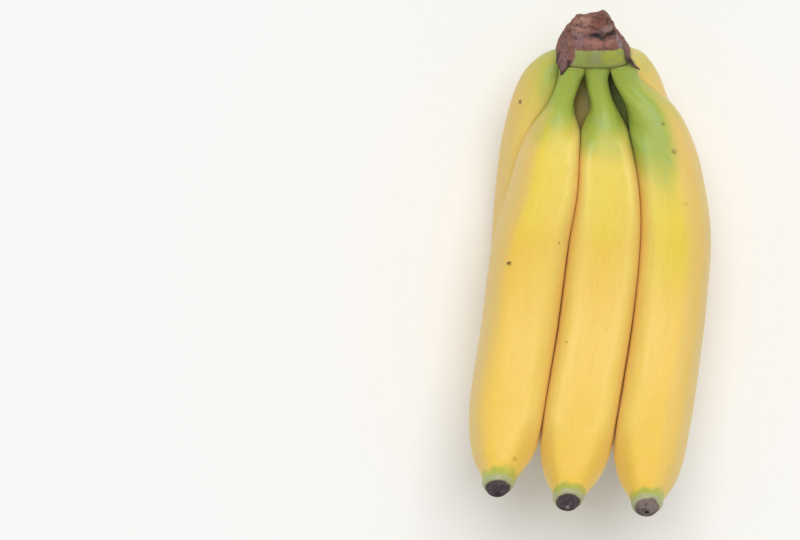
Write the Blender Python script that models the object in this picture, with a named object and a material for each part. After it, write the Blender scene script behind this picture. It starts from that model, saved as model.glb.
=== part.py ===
"""A hand of ripe bananas that lies on its back, with its hollow side up.

Each fruit is first drawn straight, by three measures in millimetres: along (from the lip of the crown
towards the tips), across (to the right) and deep (from the middle layer of the hand, away from the
viewer). One bend then lays the whole hand on the same curve, so that its two rows stay nested.
"""
import math
from dataclasses import dataclass

import bmesh
import bpy
from mathutils import Vector, noise

MM = 0.001

# The bend of the hand: its radius where it lies lowest, and how the curve tightens towards the tips
BEND_RADIUS = 184.0
BEND_EASE = 346.0
LOWEST_ALONG = 112.3
BEND_STEP = 1.0

# The two rows: depth of their centre lines at the crown and in the body, and where they part
FRONT_ROW = (-6.5, -16.8)
BACK_ROW = (7.2, 16.8)
BACK_ROW_MIDDLE = (7.2, 18.5)
ROWS_PART_START = 4.0
ROWS_PART_END = 84.0

# How far the blossom end swings to the hollow side of its fruit, and over what length
NUB_RISE = 6.0
TIP_ZONE = 56.0

# Girth by distance from the crown, and by distance from the tip, as a share of the full half width
NECK_GIRTH = (
    (0.0, 0.33), (4.0, 0.305), (10.0, 0.295), (16.0, 0.30), (20.0, 0.325), (25.0, 0.42),
    (29.0, 0.53), (34.0, 0.66), (41.0, 0.77), (50.0, 0.855), (62.0, 0.92), (80.0, 0.97), (105.0, 1.0),
)
TIP_GIRTH = (
    (0.0, 0.26), (1.2, 0.32), (4.5, 0.345), (8.5, 0.37), (12.0, 0.44), (19.0, 0.60),
    (27.0, 0.76), (37.0, 0.89), (46.0, 0.965), (58.0, 1.0),
)
DEPTH_SHARE = 1.03
DIMPLE_DEPTH = 0.8
DIMPLE_RADIUS = 2.2

# Where the necks start under the crown, and how the front ones spread sideways there to meet each other
NECK_TOP = -0.8
ROOT_SPREAD = 0.28
ROOT_RUN = 8.0

# The ridged section: five faces, rounded by a power mean, with one ridge down the outer side
FACES = 5
RIDGE_POWER = 5.0
NECK_RIDGE_START = 14.0
NECK_RIDGE_RUN = 40.0
TIP_RIDGE_START = 4.0
TIP_RIDGE_RUN = 24.0

# How finely a fruit is drawn: sides of a section, and steps along the body and the two ends
SIDES = 20
BODY_STEP = 8.0
END_STEP = 3.0
END_ZONE = 40.0

# How closely the fruits touch, and how softly a pressed flank rounds into its face
TOUCH_GAP = 0.4
PRESS_SOFTNESS = 0.5
PRESS_REACH = 4.0

# How deep the flat is that each back fruit rests on
REST_PRESS = 0.7

# The crown by height above its lip, and the gap to the necks below it
CROWN_GAP = 0.3
CROWN_MIDDLE = ((0.0, 1.4), (1.6, 1.0), (5.0, 0.5), (9.4, 0.2), (17.2, 0.6))
CROWN_HALF_WIDTH = ((0.0, 16.2), (1.6, 17.1), (5.0, 15.9), (9.4, 13.6), (12.6, 11.4), (17.2, 8.0))
CROWN_FRONT = ((0.0, -12.6), (1.6, -13.2), (5.0, -13.1), (9.4, -12.2), (10.4, -9.8), (17.2, 2.4))
CROWN_BACK = ((0.0, 12.4), (1.6, 13.6), (5.0, 13.8), (9.4, 12.8), (17.2, 9.0))
CROWN_HEIGHTS = (0.0, 0.7, 1.6, 3.2, 5.0, 7.2, 9.4, 10.4, 11.6, 12.8, 14.0, 15.2, 16.4, 17.2)
CROWN_SIDES = 28
CROWN_SQUARENESS = 3.0

# The cut of the crown: how far its right side stands above its left, and its corky relief
CUT_LEAN = 0.2
CORK_RELIEF = 0.9
CORK_START = 8.0
CORK_RUN = 4.0
CORK_GRAIN = 4.5

# The finish: waxy peel, and dry cork where the stalk was cut
PEEL_ROUGHNESS = 0.42
CORK_ROUGHNESS = 0.85
CORK_COLOUR = (0.20, 0.11, 0.085)


@dataclass(frozen=True)
class Finger:
    """One fruit: its row, its route across the hand, its length and its size."""

    name: str
    row: tuple
    length: float
    half_width: float
    neck_cut: float
    roll: float
    peel: tuple
    route: tuple


FINGERS = (
    Finger("banana_front_left", FRONT_ROW, 225.2, 17.8, 1.0, 4.0, (0.92, 0.63, 0.13),
           ((0, -7.6), (10, -10.6), (24, -15.0), (38, -17.6), (59, -20.9), (87, -27.2),
            (128, -32.2), (168, -37.7), (192, -40.0), (225.2, -43.4))),
    Finger("banana_front_middle", FRONT_ROW, 235.0, 17.3, 0.0, 0.0, (0.93, 0.65, 0.12),
           ((0, 2.0), (10, 2.7), (25, 5.9), (40, 6.6), (60, 7.8), (87, 6.4),
            (128, 2.3), (168, -3.7), (200, -7.9), (235, -12.0))),
    Finger("banana_front_right", FRONT_ROW, 239.0, 17.1, 10.5, -4.0, (0.88, 0.62, 0.13),
           ((0, 13.4), (9, 18.0), (20, 26.8), (34, 31.5), (51, 35.3), (84, 38.7),
            (119, 36.7), (159, 31.8), (195, 26.6), (239, 23.4))),
    Finger("banana_back_left", BACK_ROW, 190.0, 17.0, 21.0, 3.0, (0.77, 0.54, 0.18),
           ((0, -9.9), (4, -16.6), (9, -19.4), (15, -20.6), (30, -22.6), (60, -25.6),
            (90, -27.4), (140, -29.6), (170, -32.8), (190, -37.0))),
    Finger("banana_back_middle", BACK_ROW_MIDDLE, 186.0, 15.2, 7.0, 0.0, (0.72, 0.55, 0.20),
           ((0, -0.8), (15, -0.6), (30, 0.4), (60, 4.2), (90, 5.2), (140, 2.4), (186, -3.6))),
    Finger("banana_back_right", BACK_ROW, 194.0, 17.0, 26.0, -3.0, (0.70, 0.56, 0.24),
           ((0, 10.6), (3, 16.5), (6, 17.5), (10, 18.6), (15, 19.8), (20, 20.7), (30, 23.4),
            (45, 28.4), (60, 33.0), (90, 36.8), (119, 35.6), (159, 31.0), (194, 26.0))),
)


def curve_through(points, at):
    """A smooth curve through the points, which never swings past them."""
    if at <= points[0][0]:
        return points[0][1]
    if at >= points[-1][0]:
        return points[-1][1]
    slopes = [(b[1] - a[1]) / (b[0] - a[0]) for a, b in zip(points, points[1:])]
    i = next(k for k, point in enumerate(points[1:]) if at <= point[0])

    def tangent(k):
        if k == 0:
            return slopes[0]
        if k == len(slopes):
            return slopes[-1]
        before, after = slopes[k - 1], slopes[k]
        if before * after <= 0.0:
            return 0.0
        return 2.0 * before * after / (before + after)

    (x0, y0), (x1, y1) = points[i], points[i + 1]
    span = x1 - x0
    t = (at - x0) / span
    rise = y1 - y0
    start = tangent(i) * span
    end = tangent(i + 1) * span
    return y0 + start * t + (3 * rise - 2 * start - end) * t * t + (start + end - 2 * rise) * t ** 3


def ease(t):
    """Nought to one, with level ends."""
    t = min(max(t, 0.0), 1.0)
    return t * t * (3.0 - 2.0 * t)


def bend_angle(along):
    """How far the hand has turned upwards at this distance from the crown, in radians."""
    from_lowest = LOWEST_ALONG - along
    return from_lowest / BEND_RADIUS - (from_lowest / BEND_EASE) ** 2


def bend(across, along, deep):
    """Lay a point of the straight hand on the curve of the real one."""
    reach = LOWEST_ALONG - along
    steps = max(1, math.ceil(abs(reach) / BEND_STEP))
    stride = reach / steps
    y = 0.0
    z = 0.0
    for i in range(steps):
        angle = bend_angle(LOWEST_ALONG - (i + 0.5) * stride)
        y += math.cos(angle) * stride
        z += math.sin(angle) * stride
    angle = bend_angle(along)
    return Vector((across, y + deep * math.sin(angle), z - deep * math.cos(angle))) * MM


def centre(finger, along):
    """Where the finger's centre line runs: across and deep."""
    share = ease((along - ROWS_PART_START) / (ROWS_PART_END - ROWS_PART_START))
    rise = NUB_RISE * max(0.0, 1.0 - (finger.length - along) / TIP_ZONE) ** 2
    deep = finger.row[0] + (finger.row[1] - finger.row[0]) * share - rise
    return Vector((curve_through(finger.route, along), deep))


def half_width(finger, along):
    """Half the finger's width here."""
    neck = curve_through(NECK_GIRTH, along + finger.neck_cut)
    tip = curve_through(TIP_GIRTH, finger.length - along)
    return finger.half_width * neck * tip


def ridge_shape(angle):
    """The rounded five-sided outline, as a share of its half width, with a ridge at angle nought."""
    total = 0.0
    for k in range(FACES):
        facing = math.cos(angle - math.pi * (2 * k + 1) / FACES)
        total += max(facing, 0.0) ** RIDGE_POWER
    return total ** (-1.0 / RIDGE_POWER)


WIDEST = max(ridge_shape(math.radians(a)) * math.sin(math.radians(a)) for a in range(180))


def press(point, middle, finger, along):
    """Flatten the flank of a finger where its neighbours touch it."""
    for other in FINGERS:
        if other is finger or along > other.length:
            continue
        towards = centre(other, along) - middle
        apart = towards.length
        own = half_width(finger, along)
        theirs = half_width(other, along)
        limit = (apart * apart + own * own - theirs * theirs) / (2.0 * apart) - 0.5 * TOUCH_GAP
        towards /= apart
        reach = (point - middle).dot(towards)
        if reach > limit - PRESS_REACH:
            eased = reach - PRESS_SOFTNESS * math.log1p(math.exp((reach - limit) / PRESS_SOFTNESS))
            point = point + towards * (eased - reach)
    return point


def finger_ring(finger, along, scale=1.0):
    """The points of one section of a finger, across and deep."""
    middle = centre(finger, along)
    width = half_width(finger, along) * scale
    ridged = ease((along - NECK_RIDGE_START) / NECK_RIDGE_RUN)
    ridged *= ease((finger.length - along - TIP_RIDGE_START) / TIP_RIDGE_RUN)
    spread = 1.0
    if finger.row is FRONT_ROW:
        spread += ROOT_SPREAD * (1.0 - ease(along / ROOT_RUN))
    points = []
    for i in range(SIDES):
        angle = 2.0 * math.pi * i / SIDES
        outline = ridge_shape(angle - math.radians(finger.roll)) / WIDEST
        radius = width * (1.0 + (outline - 1.0) * ridged)
        point = middle + Vector((math.sin(angle) * spread, math.cos(angle) * DEPTH_SHARE)) * radius
        points.append(press(point, middle, finger, along))
    return points


def stations(length):
    """Distances along a finger, closer together near its two ends."""
    middle = length - 2.0 * END_ZONE
    end_count = round(END_ZONE / END_STEP)
    middle_count = round(middle / BODY_STEP)
    neck = END_ZONE - NECK_TOP
    places = [NECK_TOP + neck * i / end_count for i in range(end_count)]
    places += [END_ZONE + middle * i / middle_count for i in range(middle_count)]
    places += [length - END_ZONE + END_ZONE * i / end_count for i in range(end_count + 1)]
    return places


def add_ring(mesh, points, along):
    """Put one bent ring of points into the mesh."""
    return [mesh.verts.new(bend(point[0], along, point[1])) for point in points]


def bridge(mesh, ring, next_ring):
    """Join two rings with a band of four-sided faces."""
    for i in range(len(ring)):
        j = (i + 1) % len(ring)
        mesh.faces.new((ring[i], ring[j], next_ring[j], next_ring[i]))


def make_material(name, colour, roughness):
    """A plain skin material."""
    material = bpy.data.materials.new(name)
    material.use_nodes = True
    shader = material.node_tree.nodes["Principled BSDF"]
    shader.inputs["Base Color"].default_value = (*colour, 1.0)
    shader.inputs["Roughness"].default_value = roughness
    shader.inputs["Metallic"].default_value = 0.0
    return material


def make_object(name, mesh, material):
    """Turn a finished bmesh into a named object of the hand."""
    bmesh.ops.recalc_face_normals(mesh, faces=mesh.faces)
    data = bpy.data.meshes.new(name)
    mesh.to_mesh(data)
    mesh.free()
    data.materials.append(material)
    data.shade_smooth()
    data.set_sharp_from_angle(angle=math.radians(40.0))
    thing = bpy.data.objects.new(name, data)
    bpy.context.scene.collection.objects.link(thing)
    return thing


def make_finger(finger):
    """One banana: flat top at the crown, neck, ridged body, taper and blossom end."""
    mesh = bmesh.new()
    rings = []
    for along in stations(finger.length):
        rings.append(add_ring(mesh, finger_ring(finger, along), along))
    for ring, next_ring in zip(rings, rings[1:]):
        bridge(mesh, ring, next_ring)
    mesh.faces.new(rings[0])
    rim = half_width(finger, finger.length)
    hollow = finger_ring(finger, finger.length, DIMPLE_RADIUS / rim)
    dimple = add_ring(mesh, hollow, finger.length - DIMPLE_DEPTH)
    bridge(mesh, rings[-1], dimple)
    mesh.faces.new(dimple)
    return make_object(finger.name, mesh, make_material(finger.name, finger.peel, PEEL_ROUGHNESS))


def crown_point(height, angle, share=1.0):
    """A point of the crown at this height and angle, rounded, and roughened where it is cut."""
    middle = curve_through(CROWN_MIDDLE, height)
    half = curve_through(CROWN_HALF_WIDTH, height)
    front = curve_through(CROWN_FRONT, height)
    back = curve_through(CROWN_BACK, height)
    side = math.sin(angle)
    out = math.cos(angle)
    corner = abs(side) ** CROWN_SQUARENESS + abs(out) ** CROWN_SQUARENESS
    radius = share * corner ** (-1.0 / CROWN_SQUARENESS)
    across = middle + half * side * radius
    deep = 0.5 * (front + back) + 0.5 * (back - front) * out * radius
    cut = ease((height - CORK_START) / CORK_RUN)
    rough = CORK_RELIEF * cut * noise.noise(Vector((across, 2.0 * height, deep)) / CORK_GRAIN)
    along = NECK_TOP - CROWN_GAP - height - CUT_LEAN * side * share * cut - 0.6 * rough
    return bend(across + side * rough, along, deep + out * rough)


def make_crown():
    """The cut stump: an uncut pad at its lip, and the sloping cut above it."""
    mesh = bmesh.new()
    angles = [2.0 * math.pi * (i + 0.5) / CROWN_SIDES for i in range(CROWN_SIDES)]
    rings = []
    for height in CROWN_HEIGHTS:
        rings.append([mesh.verts.new(crown_point(height, angle)) for angle in angles])
    top = CROWN_HEIGHTS[-1]
    rings.append([mesh.verts.new(crown_point(top, angle, 0.5)) for angle in angles])
    for ring, next_ring in zip(rings, rings[1:]):
        bridge(mesh, ring, next_ring)
    mesh.faces.new(rings[0])
    peak = mesh.verts.new(crown_point(top, 0.0, 0.0))
    for i in range(CROWN_SIDES):
        mesh.faces.new((rings[-1][i], rings[-1][(i + 1) % CROWN_SIDES], peak))
    return make_object("crown", mesh, make_material("crown", CORK_COLOUR, CORK_ROUGHNESS))


def lowest(thing):
    """The height of a piece's lowest point."""
    return min(vertex.co.z for vertex in thing.data.vertices)


def press_flat(thing, level):
    """Cut the flat that a fruit rests on."""
    mesh = bmesh.new()
    mesh.from_mesh(thing.data)
    geometry = mesh.verts[:] + mesh.edges[:] + mesh.faces[:]
    cut = bmesh.ops.bisect_plane(
        mesh, geom=geometry, plane_co=(0, 0, level), plane_no=(0, 0, -1), clear_outer=True)
    edges = [part for part in cut["geom_cut"] if isinstance(part, bmesh.types.BMEdge)]
    bmesh.ops.holes_fill(mesh, edges=edges)
    mesh.to_mesh(thing.data)
    mesh.free()


def settle(things):
    """Set the middle of the hand's base at the origin."""
    corners = [vertex.co for thing in things for vertex in thing.data.vertices]
    low = Vector(min(corner[i] for corner in corners) for i in range(3))
    high = Vector(max(corner[i] for corner in corners) for i in range(3))
    base = Vector(((low.x + high.x) / 2.0, (low.y + high.y) / 2.0, low.z))
    for thing in things:
        for vertex in thing.data.vertices:
            vertex.co -= base


def main():
    """Clear the scene and build the hand."""
    for thing in list(bpy.data.objects):
        bpy.data.objects.remove(thing)
    bananas = {finger.name: make_finger(finger) for finger in FINGERS}
    crown = make_crown()
    backs = [bananas[finger.name] for finger in FINGERS if finger.row is not FRONT_ROW]
    level = max(lowest(thing) for thing in backs) + REST_PRESS * MM
    for thing in backs:
        press_flat(thing, level)
    settle([*bananas.values(), crown])


main()
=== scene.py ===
"""The looks of a hand of ripe bananas that lies on its back row, with its hollow side up.

The frame gives each fruit as a plain faceted solid. Here every fruit, and the crown that they grow from,
is drawn again from the same measures, finely enough to show its ridges, its furrowed neck and its dried
blossom end, and then gets its peel or its cork. A place on the hand is told by three measures in
millimetres: along (from the lip of the crown towards the tips), across (to the right) and deep (away
from the viewer). A place round a fruit is its turn: nought on its outer side, half a turn on its hollow
side, and positive to the right.
"""
import logging
import math
from dataclasses import dataclass, replace
from enum import Enum

import bmesh
import bpy
import numpy as np
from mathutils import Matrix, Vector, noise


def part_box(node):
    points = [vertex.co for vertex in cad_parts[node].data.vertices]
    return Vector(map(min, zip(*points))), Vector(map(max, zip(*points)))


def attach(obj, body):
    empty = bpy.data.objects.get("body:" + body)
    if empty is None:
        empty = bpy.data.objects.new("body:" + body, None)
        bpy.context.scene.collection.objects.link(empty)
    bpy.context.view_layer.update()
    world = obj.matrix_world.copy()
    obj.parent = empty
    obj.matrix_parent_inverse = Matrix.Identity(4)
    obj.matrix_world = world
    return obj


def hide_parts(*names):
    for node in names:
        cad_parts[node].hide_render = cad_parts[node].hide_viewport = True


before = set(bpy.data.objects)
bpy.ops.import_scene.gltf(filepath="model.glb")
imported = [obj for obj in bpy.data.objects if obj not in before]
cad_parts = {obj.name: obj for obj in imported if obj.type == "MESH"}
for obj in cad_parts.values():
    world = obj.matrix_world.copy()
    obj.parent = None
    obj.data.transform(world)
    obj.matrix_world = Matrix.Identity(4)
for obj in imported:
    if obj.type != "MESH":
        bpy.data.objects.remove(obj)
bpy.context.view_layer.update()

log = logging.getLogger("hand_of_bananas")

Array = np.ndarray
Socket = bpy.types.NodeSocket
Pair = tuple[float, float]
Triple = tuple[float, float, float]

MM = 0.001
BODY = "root"

# The picture's middle, across and along from the bend's lowest point, and the camera's height over the floor
VIEW_MIDDLE = (-0.0872, 0.0104)
CAMERA_HEIGHT = 2.0894
LENS = 200.0
SENSOR = 36.0


class Slot(Enum):
    """The record's material slots."""

    FRONT_PEEL = "front_peel"
    BACK_PEEL = "back_peel"
    CORK = "crown_cork"


class Row(Enum):
    """The rows of the hand, by the depth of their centre lines at the crown and in the body."""

    FRONT = (-6.5, -16.8)
    BACK = (7.2, 16.8)
    BACK_MIDDLE = (7.2, 18.5)


def ease(t: Array) -> Array:
    """Nought to one, with level ends."""
    t = np.clip(t, 0.0, 1.0)
    return t * t * (3.0 - 2.0 * t)


def fade(at: Array, none: float, full: float) -> Array:
    """Nought at none and beyond, one at full and beyond, and eased between them."""
    return ease((at - none) / (full - none))


def bell(at: Array, middle: Array | float, width: float) -> Array:
    """One at the middle, and falling off to both sides."""
    return np.exp(-((at - middle) / width) ** 2)


def straighten(turn: Array, radius: Array, along: Array) -> Array:
    """The places of a fruit's points before it is bent."""
    return np.stack((np.sin(turn) * radius, np.cos(turn) * radius, along), axis=-1)


def reach_to(direction: Array, offset: Array) -> Array:
    """How far each point of each ring lies in the ring's direction."""
    return np.einsum("nmk,nk->nm", offset, direction)


@dataclass(frozen=True)
class Lumps:
    """Smooth noise: its height, and the size of one lump along each measure, in millimetres."""

    height: float
    size: Triple

    def at(self, points: Array) -> Array:
        """Read the noise.

        Args:
            points: The places, in millimetres, with the three measures last.

        Returns:
            Values of about minus the height to the height, one for each point.
        """
        flat = (points / np.array(self.size)).reshape(-1, 3).tolist()
        values = np.fromiter((noise.noise(place) for place in flat), float, len(flat))
        return self.height * values.reshape(points.shape[:-1])


@dataclass(frozen=True)
class Curve:
    """A smooth curve through a few points, which never swings past them."""

    points: tuple[Pair, ...]

    def __call__(self, at: Array) -> Array:
        """Read the curve.

        Args:
            at: Where to read it.

        Returns:
            The curve's values there, held level past its two ends.
        """
        x, y = np.array(self.points, float).T
        slopes = np.diff(y) / np.diff(x)
        product = slopes[:-1] * slopes[1:]
        total = np.where(product > 0.0, slopes[:-1] + slopes[1:], 1.0)
        inner = np.where(product > 0.0, 2.0 * product / total, 0.0)
        tangents = np.concatenate((slopes[:1], inner, slopes[-1:]))
        at = np.clip(at, x[0], x[-1])
        i = np.clip(np.searchsorted(x, at, side="right") - 1, 0, len(x) - 2)
        span = x[i + 1] - x[i]
        t = (at - x[i]) / span
        rise = y[i + 1] - y[i]
        start = tangents[i] * span
        end = tangents[i + 1] * span
        return y[i] + start * t + (3 * rise - 2 * start - end) * t ** 2 + (start + end - 2 * rise) * t ** 3


@dataclass(frozen=True)
class BendLine:
    """The curve that the whole hand is laid on, so that its two rows stay nested."""

    radius: float = 184.0
    tightening: float = 346.0
    lowest_along: float = 112.3
    first_along: float = -30.0
    last_along: float = 270.0
    step: float = 0.25

    def angle(self, along: Array) -> Array:
        """How far the hand has turned upwards here, in radians."""
        from_lowest = self.lowest_along - along
        return from_lowest / self.radius - (from_lowest / self.tightening) ** 2

    def place(self, across: Array, along: Array, deep: Array) -> Array:
        """Lay points of the straight hand on the curve.

        Args:
            across: Measures to the right, in millimetres.
            along: Distances from the crown's lip.
            deep: Distances from the middle layer, away from the viewer.

        Returns:
            The points, in millimetres from the bend's lowest point.
        """
        grid = np.arange(self.first_along, self.last_along, self.step)
        turn = self.angle(grid + 0.5 * self.step)
        run = np.concatenate(([0.0], np.cumsum(np.cos(turn)) * self.step))[:-1]
        climb = np.concatenate(([0.0], np.cumsum(np.sin(turn)) * self.step))[:-1]
        y = np.interp(self.lowest_along, grid, run) - np.interp(along, grid, run)
        z = np.interp(self.lowest_along, grid, climb) - np.interp(along, grid, climb)
        angle = self.angle(along)
        shape = np.broadcast_shapes(np.shape(across), np.shape(along), np.shape(deep))
        points = np.empty((*shape, 3))
        points[..., 0] = across
        points[..., 1] = y + deep * np.sin(angle)
        points[..., 2] = z - deep * np.cos(angle)
        return points


BEND = BendLine()


@dataclass(frozen=True)
class Detail:
    """How finely a fruit is drawn, and how closely the fruits touch, in millimetres."""

    sides: int
    body_step: float
    end_step: float
    touch_gap: float
    press_softness: float
    relief: bool
    end_zone: float = 40.0

    def stations(self, length: float) -> Array:
        """Distances along a fruit, closer together near its two ends.

        Args:
            length: The fruit's length.

        Returns:
            The distances, from nought to the length.
        """
        zone = self.end_zone
        end_count = round(zone / self.end_step)
        middle_count = round((length - 2.0 * zone) / self.body_step)
        neck = np.linspace(NECK_TOP, zone, end_count, endpoint=False)
        middle = np.linspace(zone, length - zone, middle_count, endpoint=False)
        tip = np.linspace(length - zone, length, end_count + 1)
        return np.concatenate((neck, middle, tip))


# The frame's own facets, and the fine skin drawn here
FACETED = Detail(sides=20, body_step=8.0, end_step=3.0, touch_gap=0.4, press_softness=0.5, relief=False)
FINE = Detail(sides=232, body_step=1.6, end_step=0.7, touch_gap=0.02, press_softness=0.13, relief=True)


@dataclass(frozen=True)
class Section:
    """The ridged section of a fruit: five faces, rounded by a power mean, with one ridge at turn nought."""

    faces: int = 5
    power: float = 5.0
    depth_share: float = 1.03
    ridge_sharpness: int = 6

    def outline(self, turn: Array) -> Array:
        """The distance to the outline at each turn.

        Args:
            turn: Places round the fruit.

        Returns:
            The distances, as a share of the half width.
        """
        total = np.zeros_like(turn)
        for k in range(self.faces):
            facing = np.cos(turn - math.pi * (2 * k + 1) / self.faces)
            total += np.maximum(facing, 0.0) ** self.power
        return total ** (-1.0 / self.power)

    def share(self, turn: Array) -> Array:
        """The outline, scaled so that the section is as wide as it is said to be."""
        round_trip = np.radians(np.arange(180.0))
        return self.outline(turn) / np.max(self.outline(round_trip) * np.sin(round_trip))

    def ridge(self, turn: Array) -> Array:
        """One on each ridge, and nought between the ridges."""
        return (0.5 + 0.5 * np.cos(self.faces * turn)) ** self.ridge_sharpness


SECTION = Section()

NECK_GIRTH = Curve((
    (0.0, 0.33), (4.0, 0.305), (10.0, 0.295), (16.0, 0.30), (20.0, 0.325), (25.0, 0.42),
    (29.0, 0.53), (34.0, 0.66), (41.0, 0.77), (50.0, 0.855), (62.0, 0.92), (80.0, 0.97), (105.0, 1.0),
))
TIP_GIRTH = Curve((
    (0.0, 0.26), (1.2, 0.32), (4.5, 0.345), (8.5, 0.37), (12.0, 0.44), (19.0, 0.60),
    (27.0, 0.76), (37.0, 0.89), (46.0, 0.965), (58.0, 1.0),
))

# Between which distances from the crown the two rows draw apart
ROWS_PART = (4.0, 84.0)

# How far the blossom end swings to the hollow side of its fruit, and over what length
NUB_RISE = 6.0
TIP_ZONE = 56.0

# Where the necks start under the crown, and how the front ones spread sideways there to meet each other
NECK_TOP = -0.8
ROOT_SPREAD = 0.28
ROOT_RUN = 8.0

# Where the ridges begin, from the crown and from the tip, and how high their edges stand
RIDGES_FROM = (14.0, 54.0)
RIDGES_TO = (4.0, 28.0)
RIDGE_HEIGHT = 0.2

# The peel's dents, which end before the tip, and the furrows of the neck, with a seed for each fruit
DENTS = (Lumps(0.24, (20.0, 20.0, 38.0)), Lumps(0.06, (6.0, 6.0, 17.0)))
DENTED = (0.0, 20.0)
FURROWS = Lumps(0.34, (2.6, 2.6, 26.0))
FURROWED = (44.0, 18.0)
SEED_SPREAD = 37.0

# How softly a belly meets the surface it lies on, and a distance past every neighbour
REST_SOFTNESS = 0.12
FAR = 1000.0

# How far the shoulder beside a pressed flank stands out, over what width, how much two fruits overlap for it,
# where it starts along the neck, and how far round the face it reaches
SHOULDER_RISE = 4.8
SHOULDER_RUN = 6.0
SHOULDER_OVERLAP = (-1.2, 0.3)
SHOULDER_FROM = (14.0, 34.0)
SHOULDER_FACE = (-3.0, 3.0)

# The sines of the turn between which a neck's left fullness comes in
LEFT_SIDE = (0.3, -0.9)


@dataclass
class Skin:
    """A skin of rings, and what is known of the fruit at each of its points."""

    points: Array
    facts: dict[str, Array]

    def make_object(self, name: str, material: bpy.types.Material) -> bpy.types.Object:
        """Close the rings into one smooth body.

        Args:
            name: The new object's name.
            material: Its finish.

        Returns:
            The object, with each fact as a mesh attribute.
        """
        rings, sides = self.points.shape[:2]
        corner = np.arange(rings * sides).reshape(rings, sides)
        after = np.roll(corner, -1, axis=1)
        bands = np.stack((corner[:-1], after[:-1], after[1:], corner[1:]), axis=-1).reshape(-1, 4)
        first, last = rings * sides, rings * sides + 1
        faces = bands.tolist()
        faces += [[first, after[0, i], corner[0, i]] for i in range(sides)]
        faces += [[last, corner[-1, i], after[-1, i]] for i in range(sides)]
        mesh = bpy.data.meshes.new(name)
        mesh.from_pydata(self.with_ends(self.points).tolist(), [], faces)
        for fact, values in self.facts.items():
            flat = self.with_ends(values)
            kind, field = ("FLOAT_VECTOR", "vector") if flat.ndim == 2 else ("FLOAT", "value")
            mesh.attributes.new(fact, kind, "POINT").data.foreach_set(field, flat.ravel())
        work = bmesh.new()
        work.from_mesh(mesh)
        bmesh.ops.recalc_face_normals(work, faces=work.faces)
        work.to_mesh(mesh)
        work.free()
        mesh.shade_smooth()
        mesh.materials.append(material)
        thing = bpy.data.objects.new(name, mesh)
        bpy.context.scene.collection.objects.link(thing)
        return thing

    @staticmethod
    def with_ends(values: Array) -> Array:
        """The values in one list, with the mean of the first and of the last ring added."""
        flat = values.reshape(-1, *values.shape[2:])
        return np.concatenate((flat, values[:1].mean(axis=1), values[-1:].mean(axis=1)))


@dataclass(frozen=True)
class Freckle:
    """A brown spot of the peel: where it lies, its size in millimetres, and how dark it is."""

    along: float
    turn: float
    size: float
    darkness: float


@dataclass(frozen=True)
class Ripeness:
    """Where a fruit is still green at its neck, and how tan its flanks have turned.

    Green is full up to green_full and gone at green_gone. On the two flanks both come sooner by
    left_sooner and right_sooner, and the right flank starts where the sine of the turn is right_from.
    The tip's green ends at tip_green from the tip. The tans, which are partly the peel's own colour and
    partly painted shade on the flanks turned from the light, the painted shade where the front row covers the
    fruit, and the grey of the dried end are nought to one. The last is the colour of the style's scar.
    """

    green_full: float
    green_gone: float
    tip_green: float = 16.0
    left_sooner: float = 0.0
    right_sooner: float = 0.0
    right_from: float = 0.2
    tan_left: float = 0.0
    tan_right: float = 0.0
    tan_all: float = 0.0
    covered_shade: float = 0.0
    end_grey: float = 0.45
    style_scar: str = "#1e1512"


@dataclass(frozen=True)
class BlossomEnd:
    """The dried end of a fruit, by distance from the tip, in millimetres."""

    near: Pair = (8.0, 1.0)
    lobes: int = 5
    lobe_height: float = 0.14
    crumple: Lumps = Lumps(0.24, (2.0, 2.0, 2.6))
    groove_depth: float = 0.2
    groove_at: float = 3.1
    groove_width: float = 0.7
    swelling: float = 1.1
    swollen_at: float = 6.8
    swollen_width: float = 4.6
    dome_share: float = 0.92
    dome_run: float = 6.0
    dome_reach: float = 2.5
    cup_shares: tuple[float, ...] = (0.94, 0.86, 0.76, 0.66, 0.56, 0.46, 0.37, 0.29, 0.22, 0.15, 0.08)
    cup: Curve = Curve((
        (0.0, -0.1), (0.12, -0.15), (0.24, -0.75), (0.5, -0.9), (0.8, -0.45), (0.94, -0.02), (1.0, 0.0)))
    cup_lumps: Lumps = Lumps(0.22, (1.3, 1.3, 1.3))
    cup_depth: float = 1.0
    rim_share: float = 0.9

    def relief(self, from_tip: Array, turn: Array, straight: Array) -> Array:
        """The puckered relief of the end.

        Args:
            from_tip: Distances from the tip.
            turn: Places round the fruit.
            straight: The same places on the straightened fruit.

        Returns:
            Heights in millimetres.
        """
        lobes = self.lobe_height * np.cos(self.lobes * turn + straight[..., 2:].max())
        groove = self.groove_depth * bell(from_tip, self.groove_at, self.groove_width)
        swollen = self.swelling * bell(from_tip, self.swollen_at, self.swollen_width)
        return (lobes + self.crumple.at(straight)) * fade(from_tip, *self.near) - groove + swollen


BLOSSOM_END = BlossomEnd()


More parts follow.
